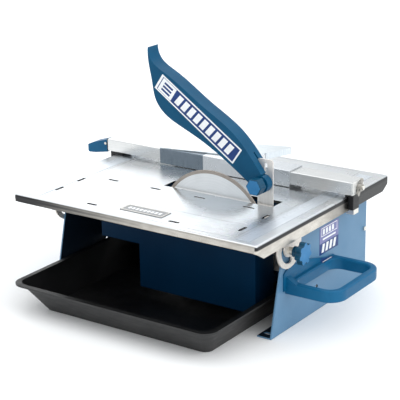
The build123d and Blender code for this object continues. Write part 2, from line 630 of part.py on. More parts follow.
with BuildPart() as fence_lever:
    with BuildSketch(y_plane(58)):
        with BuildLine():
            Polyline(
                (LEVER_TIP_X, 150.5),
                (LEVER_TIP_X, 163),
                (-252, 167.5),
                (LEVER_X - 2, ROD_Z + 5.0),
                (LEVER_X + 3, ROD_Z - 4.6),
                (LEVER_X + 3, 156),
                (-248, 151.5),
                close=True,
            )
        make_face()
        with Locations((LEVER_X, ROD_Z)):
            Circle(LEVER_EAR_R)
    extrude(amount=-20)
    fillet(fence_lever.edges().filter_by(Axis.Y).sort_by(Axis.X)[:2], 3)
    # fork that straddles the rod's eye
    add_rod_y(LEVER_X, ROD_Z, LEVER_EAR_R + 1.5, (63.6, 72.4), mode=Mode.SUBTRACT)
    add_rod_y(LEVER_X, ROD_Z, LEVER_PIN_R + FIT_GAP, (57, 79), mode=Mode.SUBTRACT)
save("fence_lever", fence_lever.part)

with BuildPart() as wing_nut:
    add_rod_x(ROD_Y, ROD_Z, 5.5, (215.4, 221))
    with BuildSketch(x_plane(216.5)):
        with Locations((ROD_Y, ROD_Z)):
            SlotOverall(26, 6.5, rotation=60)
    extrude(amount=2.5)
    add_rod_x(ROD_Y, ROD_Z, 3 + FIT_GAP, (215, 222), mode=Mode.SUBTRACT)
save("wing_nut", wing_nut.part)

# ---------------------------------------------------------------- mitre guide
SADDLE_GAP = 0.3


def saddle(x):
    """Sheet saddle over the fence between two stations."""
    inside_y = (FENCE_Y[0] - SADDLE_GAP, FENCE_Y[1] + SADDLE_GAP)
    top = FENCE_Z[1] + SADDLE_GAP
    with BuildPart() as cover:
        add_box(x, (inside_y[0] - SHEET, inside_y[1] + SHEET), (157, top + SHEET))
        fillet(cover.edges().filter_by(Axis.X).group_by(Axis.Z)[-1], 1.2)
        add_box(x, inside_y, (156, top), mode=Mode.SUBTRACT)
    return cover.part


SADDLE_X, STOP_X = (-36.0, 114.0), (-115.0, -36.0)
save("mitre_saddle", saddle(SADDLE_X))
save("mitre_stop", saddle(STOP_X))

GUIDE_Z = (181.1, 182.6)
GUIDE_PIVOT = (0.0, 68.0)
with BuildPart() as protractor_plate:
    with BuildSketch(Plane.XY.offset(GUIDE_Z[0])) as outline:
        with BuildLine():
            Polyline((-113, 47), (-140, 100), (58, 154), (36, 92), (28, 74), close=True)
        make_face()
        fillet(outline.vertices(), 3)
        with Locations(GUIDE_PIVOT):
            Circle(3 + FIT_GAP, mode=Mode.SUBTRACT)
    extrude(amount=span(GUIDE_Z))
    # square-up flange along its right edge
    with BuildSketch(Plane.XY.offset(173)):
        with BuildLine():
            Polyline((56.2, 149), (40, 103.3), (41.4, 102.8), (57.6, 148.5), close=True)
        make_face()
    extrude(amount=GUIDE_Z[1] - 173)
save("protractor_plate", protractor_plate.part)

with BuildPart() as guide_pivot:
    saddle_top = FENCE_Z[1] + SADDLE_GAP + SHEET
    with BuildSketch(Plane.XY.offset(saddle_top)):
        with Locations(GUIDE_PIVOT):
            Circle(3)
    extrude(amount=GUIDE_Z[1] + 0.3 - saddle_top)
    with BuildSketch(Plane.XY.offset(GUIDE_Z[1] + 0.3)):
        with Locations(GUIDE_PIVOT):
            Circle(6.5)
    extrude(amount=1.8)
save("guide_pivot", guide_pivot.part)

# ---------------------------------------------------------------- water tray
RIM_T_Z = 2.5
WALL_H = TRAY_H - RIM_T_Z
BASE_X = (TRAY_X[0] + TRAY_RIM + LEAN_LEFT, TRAY_X[1] - TRAY_RIM - LEAN_RIGHT)
BASE_Y = (TRAY_Y[0] + TRAY_RIM + LEAN_FRONT, TRAY_Y[1] - TRAY_RIM - LEAN_REAR)


def tray_plan(z, inset, radius):
    """Rounded plan of the tray's leaning walls at a height, drawn in by inset."""
    rise = z / WALL_H
    x = (BASE_X[0] - LEAN_LEFT * rise + inset, BASE_X[1] + LEAN_RIGHT * rise - inset)
    y = (BASE_Y[0] - LEAN_FRONT * rise + inset, BASE_Y[1] + LEAN_REAR * rise - inset)
    with Locations((centre(x), centre(y))):
        RectangleRounded(span(x), span(y), radius)


with BuildPart() as water_tray:
    with BuildSketch(Plane.XY):
        tray_plan(0, 0, 12)
    with BuildSketch(Plane.XY.offset(WALL_H)):
        tray_plan(WALL_H, 0, 18)
    loft()
    with BuildSketch(Plane.XY.offset(WALL_H)):
        with Locations((centre(TRAY_X), centre(TRAY_Y))):
            RectangleRounded(span(TRAY_X), span(TRAY_Y), 20)
    extrude(amount=RIM_T_Z)
    with BuildSketch(Plane.XY.offset(TRAY_WALL)):
        tray_plan(TRAY_WALL, TRAY_WALL, 10)
    with BuildSketch(Plane.XY.offset(TRAY_H)):
        tray_plan(TRAY_H, TRAY_WALL, 16)
    loft(mode=Mode.SUBTRACT)
save("water_tray", water_tray.part)

# ---------------------------------------------------------------- switch on the left end plate
BOX_X, BOX_Y, BOX_Z = (-214.0, -PLATE_OUT), (20.0, 84.0), (52.0, 112.0)
ROCKER_X, ROCKER_Z = -211.0, 88.0
with BuildPart() as switch_box:
    add_box(BOX_X, BOX_Y, BOX_Z)
    fillet(switch_box.edges().filter_by(Axis.X), 4)
    fillet(switch_box.faces().sort_by(Axis.X)[0].edges(), 2)
    hollow_y, hollow_z = (BOX_Y[0] + 2.5, BOX_Y[1] - 2.5), (BOX_Z[0] + 2.5, BOX_Z[1] - 2.5)
    add_box((BOX_X[0] + 2.5, BOX_X[1] - 2), hollow_y, hollow_z, mode=Mode.SUBTRACT)
    add_box((BOX_X[0] - 1, BOX_X[0] + 4), (38, 66), (78, 98), mode=Mode.SUBTRACT)
save("switch_box", switch_box.part)

with BuildPart() as switch_rocker:
    with BuildSketch(y_plane(39)):
        with BuildLine():
            Polyline(
                (ROCKER_X + 5, ROCKER_Z - 4),
                (ROCKER_X - 1.5, ROCKER_Z - 9),
                (ROCKER_X - 4, ROCKER_Z),
                (ROCKER_X - 7, ROCKER_Z + 9),
                (ROCKER_X + 5, ROCKER_Z + 4),
                close=True,
            )
        make_face()
    extrude(amount=-26)
save("switch_rocker", switch_rocker.part)

with BuildPart() as cable_gland:
    with BuildSketch(Plane.XY.offset(BOX_Z[0])):
        with Locations((centre(BOX_X), 70)):
            RegularPolygon(9, 6)
    extrude(amount=-5)
    with BuildSketch(Plane.XY.offset(BOX_Z[0] - 5)):
        with Locations((centre(BOX_X), 70)):
            Circle(7)
    extrude(amount=-8, taper=8)
    with BuildSketch(Plane.XY.offset(BOX_Z[0])):
        with Locations((centre(BOX_X), 70)):
            Circle(3.6)
    extrude(amount=-14, mode=Mode.SUBTRACT)
save("cable_gland", cable_gland.part)
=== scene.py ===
"""Looks for the wet tile cutter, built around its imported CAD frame. Metres, row frame."""

import json
import math

import bpy
from mathutils import Euler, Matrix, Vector


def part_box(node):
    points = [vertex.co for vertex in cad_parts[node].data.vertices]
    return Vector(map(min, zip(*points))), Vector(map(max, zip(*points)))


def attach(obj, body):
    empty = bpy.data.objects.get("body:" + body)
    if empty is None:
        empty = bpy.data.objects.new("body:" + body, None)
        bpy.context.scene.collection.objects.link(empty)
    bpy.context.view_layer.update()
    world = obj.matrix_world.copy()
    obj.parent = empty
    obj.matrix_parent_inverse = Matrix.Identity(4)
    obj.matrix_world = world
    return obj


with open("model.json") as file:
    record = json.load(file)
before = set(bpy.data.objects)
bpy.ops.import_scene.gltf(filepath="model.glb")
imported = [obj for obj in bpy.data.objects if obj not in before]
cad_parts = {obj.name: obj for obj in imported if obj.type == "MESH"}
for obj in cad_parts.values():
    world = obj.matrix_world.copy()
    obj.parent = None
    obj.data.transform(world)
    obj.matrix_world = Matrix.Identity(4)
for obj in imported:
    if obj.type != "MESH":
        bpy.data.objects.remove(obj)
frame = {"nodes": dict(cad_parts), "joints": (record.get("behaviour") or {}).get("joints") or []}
nodes = frame["nodes"]
joints = {j["name"]: j for j in frame["joints"]}
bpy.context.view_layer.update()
MM = 0.001


# ---------------------------------------------------------------- materials
class Look:
    """A Principled material whose colour, roughness and bump come from object-space noise."""

    def __init__(self, name, metallic=0.0, **constants):
        self.material = bpy.data.materials.new(name)
        self.material.use_nodes = True
        self.tree = self.material.node_tree
        self.shader = self.tree.nodes["Principled BSDF"]
        self.shader.inputs["Metallic"].default_value = metallic
        for socket, value in constants.items():
            self.shader.inputs[socket.replace("_", " ")].default_value = value
        self.coords = self.node("ShaderNodeTexCoord").outputs["Object"]
        self.last_bump = None

    def node(self, kind, inputs=None, **settings):
        made = self.tree.nodes.new(kind)
        for key, value in settings.items():
            setattr(made, key, value)
        for key, value in (inputs or {}).items():
            if isinstance(value, bpy.types.NodeSocket):
                self.tree.links.new(value, made.inputs[key])
            else:
                made.inputs[key].default_value = value
        return made

    def place(self, stretch, centre=(0, 0, 0)):
        """Object coordinates moved to a centre and then stretched."""
        moved = self.node("ShaderNodeMapping", {"Vector": self.coords, "Location": [-c for c in centre]})
        return self.node("ShaderNodeMapping", {"Vector": moved.outputs[0], "Scale": stretch}).outputs[0]

    def noise(self, scale, stretch=(1, 1, 1), detail=3.0, rough=0.55):
        where = self.place(stretch)
        inputs = {"Vector": where, "Scale": scale, "Detail": detail, "Roughness": rough}
        return self.node("ShaderNodeTexNoise", inputs).outputs["Fac"]

    def blend(self, factor, low, high, start=0.3, end=0.7):
        """Colour that goes from low to high as the factor goes from start to end."""
        made = self.node("ShaderNodeValToRGB", {"Fac": factor})
        for element, at, colour in zip(made.color_ramp.elements, (start, end), (low, high)):
            element.position = at
            element.color = (*colour, 1)
        return made.outputs["Color"]

    def range(self, factor, low, high, start=0.3, end=0.7):
        """Number that goes from low to high as the factor goes from start to end, and no further."""
        inputs = {"Value": factor, "From Min": start, "From Max": end, "To Min": low, "To Max": high}
        return self.node("ShaderNodeMapRange", inputs).outputs["Result"]

    def math(self, operation, a, b=None):
        inputs = {0: a} if b is None else {0: a, 1: b}
        return self.node("ShaderNodeMath", inputs, operation=operation).outputs[0]

    def both(self, *masks):
        """1 where every mask is 1."""
        joined = masks[0]
        for mask in masks[1:]:
            joined = self.math("MULTIPLY", joined, mask)
        return joined

    def outside(self, mask):
        """1 where the mask is 0."""
        return self.math("SUBTRACT", 1.0, mask)

    def split(self, vector):
        """The X, Y and Z of a vector."""
        return self.node("ShaderNodeSeparateXYZ", {"Vector": vector}).outputs

    def normal(self):
        return self.node("ShaderNodeTexCoord").outputs["Normal"]

    def mix(self, factor, a, b, blend="MIX"):
        """Colour a where the factor is 0, and b, blended onto it, where it is 1."""
        made = self.node("ShaderNodeMix", data_type="RGBA", blend_type=blend)
        for socket, value in ((made.inputs[0], factor), (made.inputs[6], a), (made.inputs[7], b)):
            if isinstance(value, bpy.types.NodeSocket):
                self.tree.links.new(value, socket)
            else:
                socket.default_value = (*value, 1) if isinstance(value, tuple) else value
        return made.outputs[2]

    def outward(self, centre=(0, 0, 0)):
        """1 on faces that point away from the centre in plan, 0 on those that point in, up or down."""
        away = self.place(stretch=(1, 1, 0), centre=centre)
        inputs = {0: away, 1: self.normal()}
        facing = self.node("ShaderNodeVectorMath", inputs, operation="DOT_PRODUCT").outputs["Value"]
        return self.range(facing, 0, 1, 0.02, 0.03)

    def colour(self, output):
        self.tree.links.new(output, self.shader.inputs["Base Color"])

    def roughness(self, output):
        self.tree.links.new(output, self.shader.inputs["Roughness"])

    def bump(self, output, strength, distance):
        """Adds a bump on top of any earlier one."""
        made = self.node("ShaderNodeBump", {"Height": output, "Strength": strength, "Distance": distance})
        if self.last_bump:
            self.tree.links.new(self.last_bump, made.inputs["Normal"])
        self.last_bump = made.outputs["Normal"]
        self.tree.links.new(self.last_bump, self.shader.inputs["Normal"])


def plastic(name, low, high, rough, grain=900, depth=0.00008, bump=0.25, mottle=26, specular=0.3):
    """Moulded plastic: slight colour drift, fine grain, scuffs that catch light."""
    look = Look(name, Specular_IOR_Level=specular)
    drift = look.noise(mottle, detail=4)
    scuff = look.noise(60, stretch=(1, 1, 6), detail=6, rough=0.7)
    base = look.blend(drift, low, high)
    light = tuple(min(1, 1.35 * c + 0.008) for c in high)
    look.colour(look.mix(look.range(scuff, 0, 0.5, 0.62, 0.8), base, light))
    look.roughness(look.range(scuff, rough[0], rough[1], 0.35, 0.75))
    look.bump(look.noise(grain, detail=2), bump, depth)
    return look.material


def paint(name, low, high, rough=(0.32, 0.46), peel=420, bump=0.22, specular=0.35, painted_shade_inside=None):
    """Powder coat: orange peel, faint drift and rubbed specks. An optional near-black colour on the faces that point
    in is painted shade.
    """
    look = Look(name, Specular_IOR_Level=specular)
    drift = look.noise(9, detail=3)
    speck = look.noise(700, detail=1)
    base = look.blend(drift, low, high)
    pale = tuple(min(1, 1.4 * c + 0.02) for c in high)
    top = look.mix(look.range(speck, 0, 0.5, 0.7, 0.78), base, pale)
    if painted_shade_inside:
        top = look.mix(look.outward(), painted_shade_inside, top)
    look.colour(top)
    look.roughness(look.range(look.noise(30, detail=4), *rough))
    look.bump(look.noise(peel, detail=2), bump, 0.0002)
    return look.material


def brushed(name, low, high, rough, stretch=(1, 40, 40), scale=35, bump=0.08, metallic=1.0):
    """Rolled or brushed metal: streaks along the axis that is stretched least, and smudges."""
    look = Look(name, metallic=metallic)
    streak = look.noise(scale, stretch=stretch, detail=6, rough=0.65)
    smudge = look.noise(11, detail=5, rough=0.6)
    base = look.blend(streak, low, high)
    dull = tuple(0.82 * c for c in low)
    look.colour(look.mix(look.range(smudge, 0, 0.55, 0.5, 0.8), base, dull))
    look.roughness(look.range(smudge, *rough))
    look.bump(streak, bump, 0.00006)
    return look.material


def table_steel():
    """Bright galvanised sheet: spangle, rolling streaks, a painted bluish reflection by the blade, painted shade and
    painted reflection on the flanges and in the slots.
    """
    look = Look("table_steel", metallic=1.0)
    streak = look.noise(26, stretch=(1, 30, 1), detail=6, rough=0.65)
    where = look.place(stretch=(160, 160, 160))
    spangle = look.node("ShaderNodeTexVoronoi", {"Vector": where, "Scale": 1.0}).outputs["Color"]
    smudge = look.noise(9, detail=5, rough=0.6)
    top = look.blend(streak, (0.62, 0.635, 0.65), (0.76, 0.77, 0.78))
    top = look.mix(0.045, top, spangle, "OVERLAY")
    top = look.mix(look.range(smudge, 0, 0.3, 0.42, 0.72), top, (0.66, 0.70, 0.73))
    # painted reflection: a bluish pool around the blade stands in for the surroundings reflected in the table
    painted_reflection_at = look.place(stretch=(5.4, 8.5, 8.5), centre=(0.09, -0.06, 0.156))
    painted_reflection = look.node("ShaderNodeTexGradient", {"Vector": painted_reflection_at}, gradient_type="SPHERICAL").outputs["Fac"]
    top = look.mix(look.range(painted_reflection, 0, 0.45, 0.05, 0.8), top, (0.46, 0.55, 0.63))

    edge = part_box("table_top")[1]
    xyz = look.split(look.coords)
    facing = look.split(look.normal())

    def shallower(deep, shallow):
        """1 less than shallow mm under the table's top, 0 more than deep mm under it."""
        return look.range(xyz["Z"], 0, 1, edge.z - deep * MM, edge.z - shallow * MM)

    def deeper(shallow, deep):
        """0 less than shallow mm under the table's top, 1 more than deep mm under it."""
        return look.range(xyz["Z"], 1, 0, edge.z - deep * MM, edge.z - shallow * MM)

    upright = look.range(look.math("ABSOLUTE", facing["Z"]), 1, 0, 0.3, 0.8)
    end = look.range(look.math("ABSOLUTE", xyz["X"]), 0, 1, edge.x - 3.5 * MM, edge.x - 3.0 * MM)
    side = look.range(look.math("ABSOLUTE", xyz["Y"]), 0, 1, edge.y - 4.5 * MM, edge.y - 4.0 * MM)
    grime = look.noise(45, stretch=(1, 1, 3), detail=5)

    # end flanges: painted shade under the rolled edge, zinc below, painted shade behind the fence
    ends = look.blend(grime, (0.50, 0.47, 0.42), (0.70, 0.67, 0.61))
    ends = look.mix(look.range(xyz["Y"], 0, 1, -0.03, 0.075), ends, (0.055, 0.055, 0.055))
    ends = look.mix(shallower(7.5, 6.0), ends, (0.035, 0.035, 0.036))
    ends = look.mix(shallower(1.6, 1.1), ends, top)
    base = look.mix(look.both(end, upright), top, ends)

    # long flanges: tan under the rolled edge; painted reflection darkens them towards the left, and there a painted
    # shade band stands for a groove
    sides = look.blend(grime, (0.40, 0.375, 0.34), (0.58, 0.555, 0.51))
    left = look.range(xyz["X"], 1, 0, -0.17, 0.04)
    sides = look.mix(left, sides, (0.045, 0.045, 0.046))
    painted_groove_shade = look.both(deeper(3.6, 4.2), shallower(7.2, 6.6), left)
    sides = look.mix(painted_groove_shade, sides, (0.05, 0.05, 0.052))
    sides = look.mix(shallower(1.2, 0.7), sides, base)
    base = look.mix(look.both(side, look.outside(end)), base, sides)

    # painted shade: the walls of the blade slot and drain slots and the table's underside are coloured near-black
    inner = look.both(look.outside(end), look.outside(side))
    base = look.mix(look.both(inner, upright, deeper(0.2, 0.4)), base, (0.02, 0.02, 0.02))
    base = look.mix(look.range(facing["Z"], 1, 0, -0.9, -0.7), base, (0.02, 0.022, 0.025))
    look.colour(base)
    look.roughness(look.range(smudge, 0.22, 0.38, 0.35, 0.7))
    look.bump(streak, 0.06, 0.00006)
    look.bump(look.noise(5, detail=1), 0.35, 0.0012)
    return look.material


def turned(name, low, high, rough, centre, metallic):
    """Metal disc ground in circles about the motor axle."""
    look = Look(name, metallic=metallic)
    where = look.place(stretch=(1, 0, 1), centre=centre)
    radius = look.node("ShaderNodeVectorMath", {0: where}, operation="LENGTH").outputs["Value"]
    rings = look.math("MULTIPLY", radius, 900.0)
    inputs = {"W": rings, "Scale": 1.0, "Detail": 4.0}
    grind = look.node("ShaderNodeTexNoise", inputs, noise_dimensions="1D").outputs["Fac"]
    smudge = look.noise(28, detail=4)
    dull = tuple(0.88 * c for c in low)
    look.colour(look.mix(look.range(smudge, 0, 0.5, 0.5, 0.8), look.blend(grind, low, high), dull))
    look.roughness(look.range(smudge, *rough))
    look.bump(grind, 0.06, 0.00004)
    return look.material


def grit():
    """Sintered diamond rim: greyish tan with darker pits, browned in places."""
    look = Look("diamond_grit", metallic=0.35)
    grain = look.noise(1600, detail=3, rough=0.8)
    burn = look.noise(60, detail=4)
    base = look.blend(grain, (0.27, 0.235, 0.205), (0.56, 0.50, 0.45), 0.35, 0.62)
    look.colour(look.mix(look.range(burn, 0, 0.4, 0.4, 0.8), base, (0.24, 0.205, 0.18)))
    look.roughness(look.range(grain, 0.5, 0.85))
    look.bump(grain, 0.6, 0.0003)
    return look.material


def tray_plastic():
    """Black moulded tray: grained outside; its rim and interior are painted near-black as painted shade."""
    look = Look("tray_plastic", Specular_IOR_Level=0.32)
    low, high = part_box("water_tray")
    middle = ((low.x + high.x) / 2, (low.y + high.y) / 2, 0)
    outer = look.blend(look.noise(18, detail=4), (0.024, 0.024, 0.025), (0.035, 0.035, 0.035))
    inner = look.blend(look.noise(12, detail=5), (0.0016, 0.0016, 0.0018), (0.006, 0.006, 0.006), 0.35, 0.75)
    # painted shade: every face but the outward ones takes the near-black colour
    look.colour(look.mix(look.outward(middle), inner, outer))
    look.roughness(look.range(look.noise(40, stretch=(1, 1, 5), detail=5), 0.36, 0.56))
    look.bump(look.noise(420, detail=2), 0.22, 0.0003)
    return look.material


def knob_plastic(name, axis):
    """Star knob: pale face across its axis, which is painted light, and darker teal on the lobes' sides, which is
    painted shade.
    """
    look = Look(name, Specular_IOR_Level=0.25)
    facing = look.split(look.normal())[axis]
    face = look.range(look.math("ABSOLUTE", facing), 0, 1, 0.8, 0.95)
    drift = look.noise(70, detail=4)
    # painted light on the face across the axis, painted shade on the lobes' sides
    painted_light_face = look.blend(drift, (0.022, 0.150, 0.33), (0.034, 0.19, 0.41))
    side = look.blend(drift, (0.001, 0.045, 0.095), (0.003, 0.065, 0.13))
    look.colour(look.mix(face, side, painted_light_face))
    look.roughness(look.range(look.noise(60, detail=5), 0.26, 0.42))
    look.bump(look.noise(900, detail=2), 0.25, 0.00008)
    return look.material


def cap_metal():
    """Fence end caps: rubber-black at the left end, aluminium at the right."""
    look = Look("fence_cap", metallic=0.5)
    tone = look.noise(70, detail=4)
    black = look.blend(tone, (0.010, 0.010, 0.011), (0.02, 0.02, 0.021))
    metal = look.blend(tone, (0.66, 0.67, 0.66), (0.84, 0.84, 0.82))
    right = look.range(look.split(look.coords)["X"], 0, 1, -0.01, 0.01)
    look.colour(look.mix(right, black, metal))
    look.roughness(look.range(tone, 0.34, 0.5))
    look.bump(look.noise(600, detail=2), 0.15, 0.0001)
    return look.material


def print_ink(name, low, high):
    """Screen-printed film: faint ink mottle under a slightly scuffed surface."""
    return plastic(name, low, high, (0.28, 0.42), grain=1500, depth=0.00003, bump=0.12, mottle=120)


AXLE = joints["blade_spin"]["pos_m"]
PLATED = dict(stretch=(6, 6, 6), scale=90)
M = {
    "table": table_steel(),
    "zinc": brushed("zinc_plate", (0.60, 0.58, 0.54), (0.84, 0.82, 0.76), (0.25, 0.42), **PLATED),
    "dark_zinc": brushed("worn_zinc", (0.24, 0.23, 0.21), (0.46, 0.44, 0.41), (0.3, 0.5), **PLATED),
    "cream": brushed("zinc_bracket", (0.70, 0.65, 0.59), (0.88, 0.83, 0.77), (0.4, 0.56),
                     (8, 8, 8), 60, metallic=0.5),
    "fence": brushed("fence_aluminium", (0.64, 0.65, 0.65), (0.84, 0.84, 0.83), (0.22, 0.36), (1, 60, 60)),
    "saddle": brushed("saddle_sheet", (0.62, 0.65, 0.68), (0.82, 0.84, 0.86), (0.20, 0.34), (50, 4, 1)),
    "stop": brushed("stop_sheet", (0.13, 0.17, 0.21), (0.30, 0.35, 0.40), (0.18, 0.32), (40, 4, 1)),
    "protractor": brushed("protractor_sheet", (0.62, 0.68, 0.72), (0.82, 0.86, 0.88), (0.22, 0.36), (1, 45, 1)),
    "strip": brushed("scale_strip", (0.62, 0.67, 0.73), (0.80, 0.84, 0.88), (0.26, 0.40), (30, 1, 1)),
    "knife": brushed("knife_steel", (0.70, 0.66, 0.62), (0.90, 0.86, 0.82), (0.34, 0.5), (30, 1, 1), metallic=0.7),
    "blade": turned("blade_steel", (0.84, 0.86, 0.87), (0.93, 0.94, 0.95), (0.28, 0.42), AXLE, 0.4),
    "grit": grit(),
    # the plates' inward faces carry painted shade
    "plate": paint("blue_powder_coat", (0.085, 0.20, 0.33), (0.11, 0.24, 0.385), painted_shade_inside=(0.006, 0.014, 0.026)),
    # splash panel and bulkhead: the blue coat darkened as painted shade, since they lie under the table
    "panel": paint("blue_coat_painted_shade", (0.0002, 0.018, 0.052), (0.0004, 0.025, 0.068), (0.4, 0.55), specular=0.08),
    "guard": plastic("guard_plastic", (0.001, 0.062, 0.138), (0.002, 0.078, 0.168), (0.34, 0.48), specular=0.15),
    "handle": plastic("handle_plastic", (0.001, 0.088, 0.200), (0.002, 0.112, 0.245), (0.36, 0.52), specular=0.22),
    "tilt_knob": knob_plastic("tilt_knob_plastic", "X"),
    "lock_knob": knob_plastic("lock_knob_plastic", "Y"),
    "cap": cap_metal(),
    "black": plastic("black_plastic", (0.010, 0.010, 0.011), (0.017, 0.017, 0.018), (0.38, 0.55)),
    "tray": tray_plastic(),
    "rocker": plastic("rocker_plastic", (0.32, 0.008, 0.006), (0.46, 0.014, 0.010), (0.25, 0.38)),
    "iron": paint("motor_enamel", (0.028, 0.032, 0.038), (0.045, 0.05, 0.058), (0.4, 0.6), peel=250, bump=0.4),
    "copper": brushed("copper_winding", (0.34, 0.12, 0.05), (0.60, 0.27, 0.13), (0.3, 0.45), (1, 1, 60), bump=0.5),
    "ink_white": print_ink("ink_white", (0.80, 0.82, 0.84), (0.90, 0.91, 0.92)),
    "ink_navy": print_ink("ink_navy", (0.003, 0.030, 0.145), (0.006, 0.044, 0.20)),
    "ink_violet": print_ink("ink_violet", (0.16, 0.17, 0.36), (0.21, 0.22, 0.44)),
    "ink_grey": print_ink("ink_grey", (0.22, 0.225, 0.235), (0.30, 0.305, 0.315)),
    "ink_black": print_ink("ink_black", (0.02, 0.02, 0.022), (0.035, 0.035, 0.04)),
}

# every node not named here is zinc-plated hardware
WEARERS = {
    "table": ["table_top"],
    "cream": ["right_tilt_bracket", "left_tilt_bracket"],
    "saddle": ["mitre_saddle"],
    "stop": ["mitre_stop"],
    "protractor": ["protractor_plate"],
    "fence": ["fence_rail"],
    "cap": ["fence_end_caps"],
    "strip": ["scale_strips"],
    "ink_grey": ["table_badge"],
    "plate": ["right_end_plate", "left_end_plate", "rear_cross_member"],
    "panel": ["splash_panel", "motor_bulkhead"],
    "handle": ["carry_handle", "fence_lever"],
    "tilt_knob": ["right_tilt_knob", "left_tilt_knob"],
    "lock_knob": ["guard_knob"],
    "guard": ["guard_shell"],
    "ink_white": ["guard_stripe"],
    "ink_violet": ["rating_label"],
    "tray": ["water_tray"],
    "black": ["switch_box", "cable_gland", "right_fence_hook", "left_fence_hook", "run_capacitor",
              "fan_cover", "cooling_fan"],
    "rocker": ["switch_rocker"],
    "knife": ["riving_knife"],
    "blade": ["blade_core"],
    "grit": ["diamond_rim"],
    "iron": ["motor_front_bell", "motor_rear_bell", "motor_housing", "stator_core", "rotor_core"],
    "copper": ["stator_windings"],
    "dark_zinc": ["wing_nut"],
}
NODE_LOOK = {name: look for look, names in WEARERS.items() for name in names}
for name, node in nodes.items():
    node.data.materials.clear()
    node.data.materials.append(M[NODE_LOOK.get(name, "zinc")])


# ---------------------------------------------------------------- flat printed and pressed pieces
FACING_UP = dict(u=(1, 0, 0), v=(0, 1, 0))
FACING_RIGHT = dict(u=(0, 1, 0), v=(0, 0, 1))


def plates(name, outlines, origin, u, v, thickness, look, body, slot):
    """One object from flat polygons given in (u, v) mm, extruded by thickness mm along u x v."""
    u, v = Vector(u), Vector(v)
    normal = u.cross(v) * thickness * MM
    verts, faces = [], []
    for outline in outlines:
        start, n = len(verts), len(outline)
        low = [Vector(origin) + u * (a * MM) + v * (b * MM) for a, b in outline]
        verts += low + [p + normal for p in low]
        faces += [tuple(range(start + n, start + 2 * n)), tuple(range(start + n - 1, start - 1, -1))]
        faces += [(start + i, start + (i + 1) % n, start + n + (i + 1) % n, start + n + i) for i in range(n)]
    mesh = bpy.data.meshes.new(name)
    mesh.from_pydata(verts, [], faces)
    mesh.validate()
    piece = bpy.data.objects.new(name, mesh)
    bpy.context.scene.collection.objects.link(piece)
    mesh.materials.append(M[look])
    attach(piece, body)


def rect(a0, a1, b0, b1):
    return [(a0, b0), (a1, b0), (a1, b1), (a0, b1)]


def frame_bars(a0, a1, b0, b1, width):
    """Four bars that frame a rectangle."""
    return [
        rect(a0, a1, b0, b0 + width),
        rect(a0, a1, b1 - width, b1),
        rect(a0, a0 + width, b0 + width, b1 - width),
        rect(a1 - width, a1, b0 + width, b1 - width),
    ]


# guard panel: pale border, navy field, plain slanted blocks and a three-bar mark
LIFT = joints["guard_lift"]["pos_m"]
RISE = math.radians(41.7)  # the guard's axis above the table at rest
ALONG, BELOW = (-math.cos(RISE), 0, math.sin(RISE)), (-math.sin(RISE), 0, -math.cos(RISE))
PANEL = [(209, 6), (206, 31), (48, 12.5), (51, -14)]  # corners along and below the guard's axis, as in the CAD
GUARD_INK = 0.06
BLOCKS, FIRST_BLOCK, BLOCK_STEP, BLOCK_WIDTH = 9, 0.232, 0.079, 0.054


def on_panel(s, t):
    """Point on the guard panel: s from its tip end to its pivot end, t from its top edge to its lower edge."""
    top = [PANEL[0][i] * (1 - s) + PANEL[3][i] * s for i in (0, 1)]
    low = [PANEL[1][i] * (1 - s) + PANEL[2][i] * s for i in (0, 1)]
    return tuple(top[i] * (1 - t) + low[i] * t for i in (0, 1))


def panel_quad(s0, s1, t0, t1, slant=0.0):
    return [on_panel(s1 + slant, t0), on_panel(s0 + slant, t0), on_panel(s0, t1), on_panel(s1, t1)]


def guard_layer(name, outlines, layer, look):
    """Ink on the guard panel, each layer on the one below it."""
    face_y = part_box("guard_stripe")[0].y
    origin = (LIFT[0], face_y - (layer - 1) * GUARD_INK * MM, LIFT[2])
    plates(name, outlines, origin, ALONG, BELOW, GUARD_INK, look, "guard", "stripe_print")


guard_layer("guard_panel_field", [panel_quad(0.022, 0.985, 0.08, 0.92)], 1, "ink_navy")
white = [panel_quad(0.03, 0.195, 0.10, 0.90)]
for i in range(BLOCKS):
    s = FIRST_BLOCK + i * BLOCK_STEP
    white.append(panel_quad(s, s + BLOCK_WIDTH, 0.2, 0.8, slant=0.014))
guard_layer("guard_panel_blocks", white, 2, "ink_white")
mark = [panel_quad(0.062, 0.165, t, t + 0.12) for t in (0.24, 0.45, 0.66)]
guard_layer("guard_panel_mark", mark, 3, "ink_navy")

# rating label: frame, plain bars, darker foot
label_low, label_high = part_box("rating_label")
LABEL_WIDE, LABEL_TALL = (label_high.y - label_low.y) / MM, (label_high.z - label_low.z) / MM
LABEL_INK = 0.05
LEAN = LABEL_WIDE * 0.06


def on_label(a0, a1, b0, b1):
    """Rectangle in mm from shares of the label's width and height."""
    return LABEL_WIDE * a0, LABEL_WIDE * a1, LABEL_TALL * b0, LABEL_TALL * b1


def label_layer(name, outlines, layer, look):
    """Ink on the rating label, each layer on the one below it."""
    origin = (label_high.x + (layer - 1) * LABEL_INK * MM, label_low.y, label_low.z)
    plates(name, outlines, origin, thickness=LABEL_INK, look=look, body="frame", slot="label_print", **FACING_RIGHT)


label_layer("label_foot", [rect(*on_label(0, 1, 0, 0.40))], 1, "ink_navy")
bars = frame_bars(*on_label(0.08, 0.92, 0.64, 0.95), width=1.1)
bars += [rect(*on_label(a, a + 0.1, 0.70, 0.89)) for a in (0.16, 0.32, 0.48, 0.64)]
bars += [rect(*on_label(0.16, 0.84, 0.50, 0.56))]
for a in (0.10, 0.30, 0.50, 0.70):
    left, right, foot, head = on_label(a, a + 0.12, 0.06, 0.36)
    bars.append([(left, foot), (right, foot), (right + LEAN, head), (left + LEAN, head)])
label_layer("label_bars", bars, 2, "ink_white")

